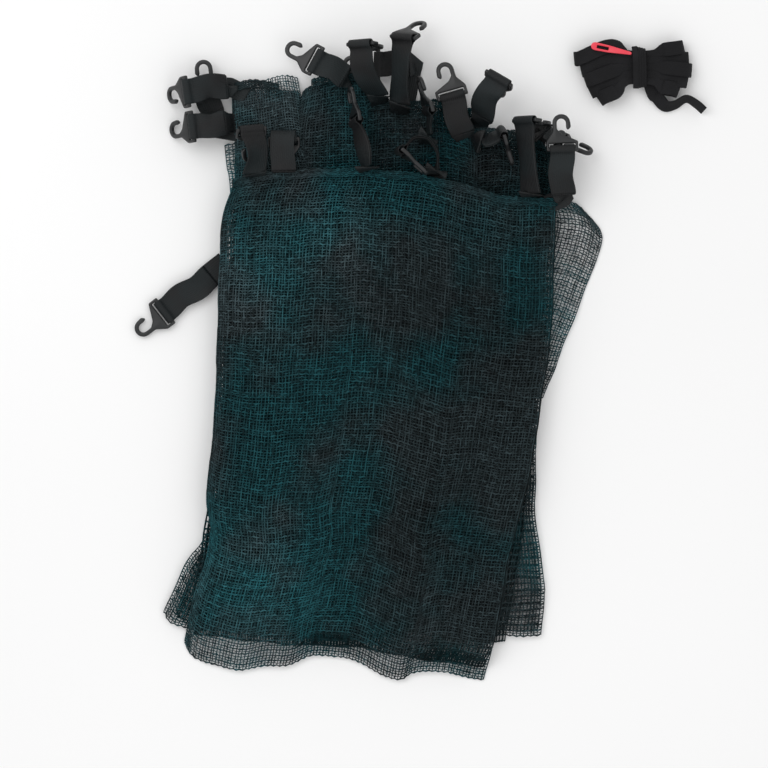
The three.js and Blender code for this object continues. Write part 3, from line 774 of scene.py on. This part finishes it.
class NET_OT_camera(bpy.types.Operator):
    """Sets the camera straight above the bundle, with its hem at the top of the view"""

    bl_idname = "hook_net.camera"
    bl_label = "Camera"

    def execute(self, context):
        height = settings().camera_height
        data = bpy.data.cameras.new("Camera")
        data.sensor_width = SENSOR
        data.lens = SENSOR * (height - TOP_LEVEL) / VIEW_WIDTH
        data.clip_end = 30
        camera = bpy.data.objects.new("Camera", data)
        camera.location = (*VIEW_CENTRE, height)
        context.scene.collection.objects.link(camera)
        context.scene.camera = camera
        return {"FINISHED"}


def lace_route():
    """The lace's centres, its width directions, half widths and half thicknesses.
    It goes from the waist out to a loop's end, up and back over itself, and on to the other side,
    five times, each time in the next lane, then three times round the waist, and ends in a tail."""
    rows = []
    wide, thick = settings().lace_width / 2 / MM, settings().lace_thickness / 2 / MM

    def add(x, y, z, way, half=wide, deep=thick):
        rows.append((x, y, z, *way, half, deep))

    for lane, ends in enumerate(zip(LEFT_LOOPS, RIGHT_LOOPS)):
        high, low = LANE_LEVELS[lane % 2]
        for side, end in zip((-1, 1), ends):
            start = np.array([WAIST[0] + 13 * side, WAIST[1] + 7 * (2 - lane)])
            out = unit(np.array(end, float) - start)
            way = (-out[1] * side, out[0] * side, 0.0)
            levels = (low, high) if side < 0 else (high, low)
            bend = np.array([0.0, (LEFT_BENDS if side < 0 else RIGHT_BENDS)[lane]])
            near, far = start + 10 * out + bend, np.array(end, float) - 7 * out
            mid = (start + far) / 2 + bend
            z0, z1 = levels
            w0, w1 = (WAIST_LOW, WAIST_HIGH) if side < 0 else (WAIST_HIGH, WAIST_LOW)
            add(*start, w0, (0, 1, 0.01), *GATHERED_LACE)
            add(*near, (w0 + z0) / 2, way, 6.2)
            add(*mid, z0, way)
            add(*far, z0, way)
            add(end[0] - out[0], end[1] - out[1], (z0 + z1) / 2, way)
            add(*far, z1, way)
            add(*mid, z1, way)
            add(*near, (w1 + z1) / 2, way, 6.2)
            add(*start, w1, (0, 1, 0.01), *GATHERED_LACE)
    add(WAIST[0] + 3, WAIST[1] - 15.5, 3.4, (0.7, 0.7, 0), 3.4, 0.8)
    for k in range(WRAP_STEPS + 1):
        turn = -0.7 * math.pi - 2 * math.pi * k / WRAP_TURN
        lift = 0.3 * k / WRAP_TURN
        shift = WRAP_SHIFT - 2 * WRAP_SHIFT * k / WRAP_STEPS
        add(WAIST[0] + shift, WAIST[1] + (WRAP_ACROSS + 2 * lift) * math.cos(turn),
            WRAP_LEVEL + (WRAP_UP + lift) * math.sin(turn) + lift, (1, 0, 0), *WRAP_LACE)
    for k, (x, y, z) in enumerate(LACE_TAIL):
        ahead = unit(np.gradient(np.array(LACE_TAIL, float)[:, :2], axis=0)[k])
        tilt = math.radians(min(60, 18 * k))
        way = (-ahead[1] * math.cos(tilt), ahead[0] * math.cos(tilt), math.sin(tilt))
        add(x, y, z, way)
    rows = np.array(rows)
    length = np.linalg.norm(np.diff(rows[:, :3], axis=0), axis=1).sum()
    fine = along(rows, np.linspace(0, 1, round(length / 1.6)))
    return fine[:, :3] * MM, fine[:, 3:6], fine[:, 6] * MM, fine[:, 7] * MM


class NET_OT_lace(bpy.types.Operator):
    """Lays the flat lace in its tied hank, as one free cord"""

    bl_idname = "hook_net.lace"
    bl_label = "Lace"

    def execute(self, context):
        centres, across, half, deep = lace_route()
        points, faces, uv = ribbon(centres, across, half, deep)
        lace = solid("lace", points, faces, lace_finish(), uv=uv)
        place(lace, "lace", ["lace_hank", "lace_wrap", "lace_tail"])
        return {"FINISHED"}


class NET_OT_folds(bpy.types.Operator):
    """Knits every fold of the net with its hems, and lays them on one another"""

    bl_idname = "hook_net.folds"
    bl_label = "Folds and hems"

    def execute(self, context):
        row_pitch = settings().row_pitch
        for name, edge, height, fold in HEMS:
            ends, reach = (5, 26) if name == "front_hem" else (2, 10)
            spec = (strip(edge, 0, HEM_WIDTH), [height, height - HEM_STEP], 2, (ends, ends, 0, 0),
                    reach, (0.4, 90), (0.85, 0.9))
            hem, _, _ = knit(f"{name}_stitching", spec, row_pitch * HEM_ROWS)
            place(hem, "net_bundle", [name])
        for name, edges, levels, nodes, fineness, *rest in FOLDS:
            rows = row_pitch if fineness == 1 else row_pitch * HIDDEN_ROWS
            spec = (edges, levels, fineness, *rest)
            fold, width, length = knit(f"{name}_net", spec, rows)
            place(fold, "net_bundle", nodes)
        return {"FINISHED"}


# ---- Straps and hooks ----


def seam_frame(turns):
    """The directions along a strap, out of its face and across it, from heading, pitch and roll."""
    h, p, r = np.radians(turns)
    ahead = np.array([math.cos(h) * math.cos(p), math.sin(h) * math.cos(p), math.sin(p)])
    face = np.array([-math.cos(h) * math.sin(p), -math.sin(h) * math.sin(p), math.cos(p)])
    face = face * math.cos(r) - np.cross(ahead, face) * math.sin(r)
    return ahead, face, np.cross(ahead, face)


def strap_path(route, thickness):
    """A strap's side view: one ply out along the route, round the hook's bar, and the other back.
    Gives its points, their share of the way to the bar, the eye's centre and the route's last tilt."""
    gap = 0.5 * thickness / MM + 0.1
    shares = np.linspace(0, 1, 26)
    line = along([(u, v, 0.0) for u, v in route], shares)[:, :2]
    ahead = unit(np.gradient(line, axis=0))
    left = np.stack([-ahead[:, 1], ahead[:, 0]], -1)
    final = unit(np.subtract(route[-1], route[-2]).astype(float))
    eye = np.asarray(route[-1], float) + EYE_REACH * final
    tilt = math.atan2(final[1], final[0])
    join = math.asin(gap / EYE_RADIUS)
    angle = np.linspace(tilt - math.pi + join, tilt + math.pi - join, 22)[1:-1]
    ring = eye + EYE_RADIUS * np.stack([np.cos(angle), np.sin(angle)], -1)
    share = np.concatenate([shares[:-1], np.ones(len(ring)), shares[:-1][::-1]])
    return np.vstack([(line - gap * left)[:-1], ring, (line + gap * left)[:-1][::-1]]), share, eye, tilt


def sewn_end(name, seam, turns):
    """Centres, width directions and shares of the full width of the webbing beyond a seam, which
    turns flat and gathers as it goes down between the layers of the fold that it is sewn to. It goes
    straight on from its strap, unless the list of other ends gives it a place."""
    ahead, _, side = seam_frame(turns)
    front = seam[1] < REAR_FROM
    level = FRONT_LEVEL if front else REAR_LEVEL
    reach = SHORT_FALL if front or name in SEWN_TO else LONG_FALL
    seam, back = np.array(seam, float), -unit(np.array([ahead[0], ahead[1], 0.0]))
    fallen = np.array([0.0, 0.0, level - seam[2]])
    end = np.array([*SEWN_TO.get(name, (seam + (reach + STRAIGHT_ON) * back)[:2]), level])
    marks = [seam - 0.3 * ahead, seam + 0.5 * reach * back + 0.4 * fallen,
             seam + reach * back + 0.95 * fallen, end]
    shares = np.linspace(0, 1, 18)
    points = along(marks, shares)
    run = unit(np.gradient(points[:, :2], axis=0))
    flat = np.stack([-run[:, 1], run[:, 0], 0 * shares], -1)
    flat *= np.sign(flat[0] @ side + 1e-9)
    turn = np.clip(shares * 3.5, 0, 1)
    across = unit((1 - turn[:, None]) * side + turn[:, None] * flat)
    return points * MM, across, 1 - GATHERED * turn


class NET_OT_straps(bpy.types.Operator):
    """Makes every strap, a webbing loop sewn at its seam, and the ends that are sewn to the net"""

    bl_idname = "hook_net.straps"
    bl_label = "Straps"

    def execute(self, context):
        size = settings()
        chance = np.random.default_rng(size.seed)
        half, deep = size.webbing_width / 2, size.webbing_thickness / 2
        for name, (seam, turns, route, _, _) in STRAPS.items():
            ahead, face, side = seam_frame(turns)
            flat, share = strap_path(route, size.webbing_thickness)[:2]
            bow = np.sin(math.pi * share)[:, None]
            slack = min(1.0, np.ptp(flat[:, 0]) / FULL_SWAY)
            twist = math.radians(chance.choice([-1, 1]) * chance.uniform(*TWIST)) * bow
            sway = chance.choice([-1, 1]) * chance.uniform(*SWAY) * bow**2 * slack
            if name == "side_low":
                twist, sway = 0 * bow, -SIDE_SWAY * bow * np.sin(2 * math.pi * share)[:, None]
            back = np.arange(len(share)) > len(share) / 2
            cup = chance.choice([-1, 1]) * chance.uniform(*CUP) * MM * np.where(back, -1, 1)
            across = np.cos(twist) * side + np.sin(twist) * face
            centres = MM * (seam + flat[:, :1] * ahead + flat[:, 1:] * face + sway * side)
            points, faces, uv = ribbon(centres, across, half, deep, cup * bow[:, 0])
            strap = solid(f"{name}_webbing", points, faces, webbing_finish(), uv=uv)
            place(strap, f"{name}_strap", [f"{name}_strap"])
            if name == "side_low":
                centres = along(SIDE_TAIL, np.linspace(0, 1, 12)) * MM
                across, gathered = np.broadcast_to(side, centres.shape), 1.0
            else:
                centres, across, gathered = sewn_end(name, seam, turns)
            points, faces, uv = ribbon(centres, across, half * gathered, 1.4 * deep)
            end = solid(f"{name}_sewn_end", points, faces, webbing_finish(), uv=uv)
            place(end, "net_bundle", ["side_strap_tail"] if name == "side_low" else [])
        return {"FINISHED"}


def hook_outline(side):
    """The hook's outline, anticlockwise: its plate, its neck, the J and back, with the tip on side."""
    outer = np.radians(np.linspace(-90, 90, 16))
    inner = outer[::-1]
    curve = [(J_CENTRE + J_OUTER * math.cos(a), J_OUTER * math.sin(a)) for a in outer]
    hollow = [(J_CENTRE + J_INNER * math.cos(a), J_INNER * math.sin(a)) for a in inner]
    outline = [
        (-BAR, -PLATE_HALF), (SHOULDER, -PLATE_HALF), (NECK, -J_OUTER), *curve,
        (TIP + 3, J_OUTER + 0.6), (TIP, J_INNER + 1.6), (TIP + 2.5, J_INNER), *hollow,
        (NECK + 2.5, -J_INNER), (NECK - 2.5, -0.5), (SHOULDER, PLATE_HALF), (-BAR, PLATE_HALF),
    ]
    slot = [(BAR, -SLOT_HALF), (BAR, SLOT_HALF), (SLOT_FAR, SLOT_HALF), (SLOT_FAR, -SLOT_HALF)]
    if side < 0:
        outline, slot = ([(x, -y) for x, y in reversed(p)] for p in (outline, slot))
    return round_outline(outline, 0.9, 2), round_outline(slot, 0.9, 1)


class NET_OT_hooks(bpy.types.Operator):
    """Moulds every hook and sets it on the bar at its strap's eye"""

    bl_idname = "hook_net.hooks"
    bl_label = "Hooks"

    def execute(self, context):
        thickness = settings().hook_thickness / MM
        shapes = {side: plate(*hook_outline(side), thickness, 1.25) for side in (-1, 1)}
        for name, (seam, turns, route, angle, side) in STRAPS.items():
            ahead, face, across = seam_frame(turns)
            eye, tilt = strap_path(route, settings().webbing_thickness)[2:]
            a = tilt + math.radians(angle)
            out, up = math.cos(a) * ahead + math.sin(a) * face, math.cos(a) * face - math.sin(a) * ahead
            local, faces = shapes[side]
            centre = np.array(seam, float) + eye[0] * ahead + eye[1] * face
            points = centre + local[:, :1] * out - local[:, 1:2] * across + local[:, 2:] * up
            hook = solid(f"{name}_moulding", MM * points, faces, hook_finish())
            place(hook, f"{name}_hook", [f"{name}_hook"])
        return {"FINISHED"}


class NET_OT_needle(bpy.types.Operator):
    """Makes the red threading needle that lies on the hank"""

    bl_idname = "hook_net.needle"
    bl_label = "Needle"

    def execute(self, context):
        head = np.radians(np.linspace(90, 270, 12))
        point = np.radians(np.linspace(-90, 90, 8))
        near, far, half = NEEDLE_EYE
        outline = [(near - 1, -EYE_END_RADIUS), (far, -3.6), (POINT_AT - 1, -POINT_RADIUS)]
        outline += [(POINT_AT + POINT_RADIUS * math.cos(a), POINT_RADIUS * math.sin(a)) for a in point]
        outline += [(far, 3.6), (near - 1, EYE_END_RADIUS)]
        outline += [(EYE_END + EYE_END_RADIUS * math.cos(a), EYE_END_RADIUS * math.sin(a))
                    for a in head]
        slot = [(near, -half), (near, half), (far, half), (far, -half)]
        outline, slot = round_outline(outline, 0.7, 2), round_outline(slot, 0.7, 1)
        local, faces = plate(outline, slot, NEEDLE_THICKNESS, NEEDLE_ROUNDING)
        c, s = math.cos(math.radians(NEEDLE_TURN)), math.sin(math.radians(NEEDLE_TURN))
        x, y, z = local.T
        at = NEEDLE_AT
        middle = at[2] + NEEDLE_THICKNESS / 2 + 0.05
        points = np.stack([at[0] + c * x - s * y, at[1] + s * x + c * y, middle + z], -1)
        needle = solid("threading_needle_moulding", MM * points, faces, needle_finish())
        place(needle, "needle", ["threading_needle"])
        return {"FINISHED"}


class NET_OT_studio(bpy.types.Operator):
    """Adds the pale floor and the soft lights of a small studio"""

    bl_idname = "hook_net.studio"
    bl_label = "Floor and lights"

    def execute(self, context):
        bpy.ops.mesh.primitive_plane_add(size=FLOOR_SIDE, location=(0, 0, FLOOR_LEVEL))
        floor = context.object
        floor.name = "floor"
        floor.data.materials.append(
            finish("Floor", (0.93, 0.93, 0.93), (0.95, 0.95, 0.95), 0.9, broad=1.0, spread=0.0,
                   specular=0.1, grain=40.0))
        world = bpy.data.worlds.new("Studio")
        world.use_nodes = True
        world.node_tree.nodes["Background"].inputs["Color"].default_value = (1, 1, 1, 1)
        world.node_tree.nodes["Background"].inputs["Strength"].default_value = 0.8
        context.scene.world = world
        for name, spot, side, power in (
            ("Key light", (-0.9, 0.9, 1.9), 1.6, 13), ("Fill light", (1.2, -0.8, 2.2), 1.8, 5)
        ):
            data = bpy.data.lights.new(name, "AREA")
            data.size, data.energy = side, power
            light = bpy.data.objects.new(name, data)
            light.location = spot
            aim = np.array(spot, float)
            light.rotation_euler = (
                math.atan2(math.hypot(aim[0], aim[1]), aim[2]), 0, math.atan2(aim[0], -aim[1]))
            context.scene.collection.objects.link(light)
        context.scene.view_settings.view_transform = "Standard"
        return {"FINISHED"}


class NET_PT_panel(bpy.types.Panel):
    """Sizes of the net bundle, and a button for each group of its pieces"""

    bl_idname = "NET_PT_panel"
    bl_label = "Hook net"
    bl_space_type = "VIEW_3D"
    bl_region_type = "UI"
    bl_category = "Hook net"

    def draw(self, context):
        for field in NetSettings.__annotations__:
            self.layout.prop(context.scene.net_settings, field)
        for operator in OPERATORS:
            self.layout.operator(operator.bl_idname)


OPERATORS = (NET_OT_camera, NET_OT_lace, NET_OT_folds, NET_OT_straps, NET_OT_hooks, NET_OT_needle,
             NET_OT_studio)
CLASSES = (NetSettings, *OPERATORS, NET_PT_panel)


def register():
    """Registers the classes and the scene's settings."""
    for cls in CLASSES:
        bpy.utils.register_class(cls)
    bpy.types.Scene.net_settings = bpy.props.PointerProperty(type=NetSettings)


def unregister():
    """Takes them away again."""
    del bpy.types.Scene.net_settings
    for cls in reversed(CLASSES):
        bpy.utils.unregister_class(cls)


def main():
    """Builds every piece in order."""
    register()
    for operator in OPERATORS:
        group, name = operator.bl_idname.split(".")
        getattr(getattr(bpy.ops, group), name)()
    bpy.context.view_layer.update()


if __name__ == "__main__":
    main()
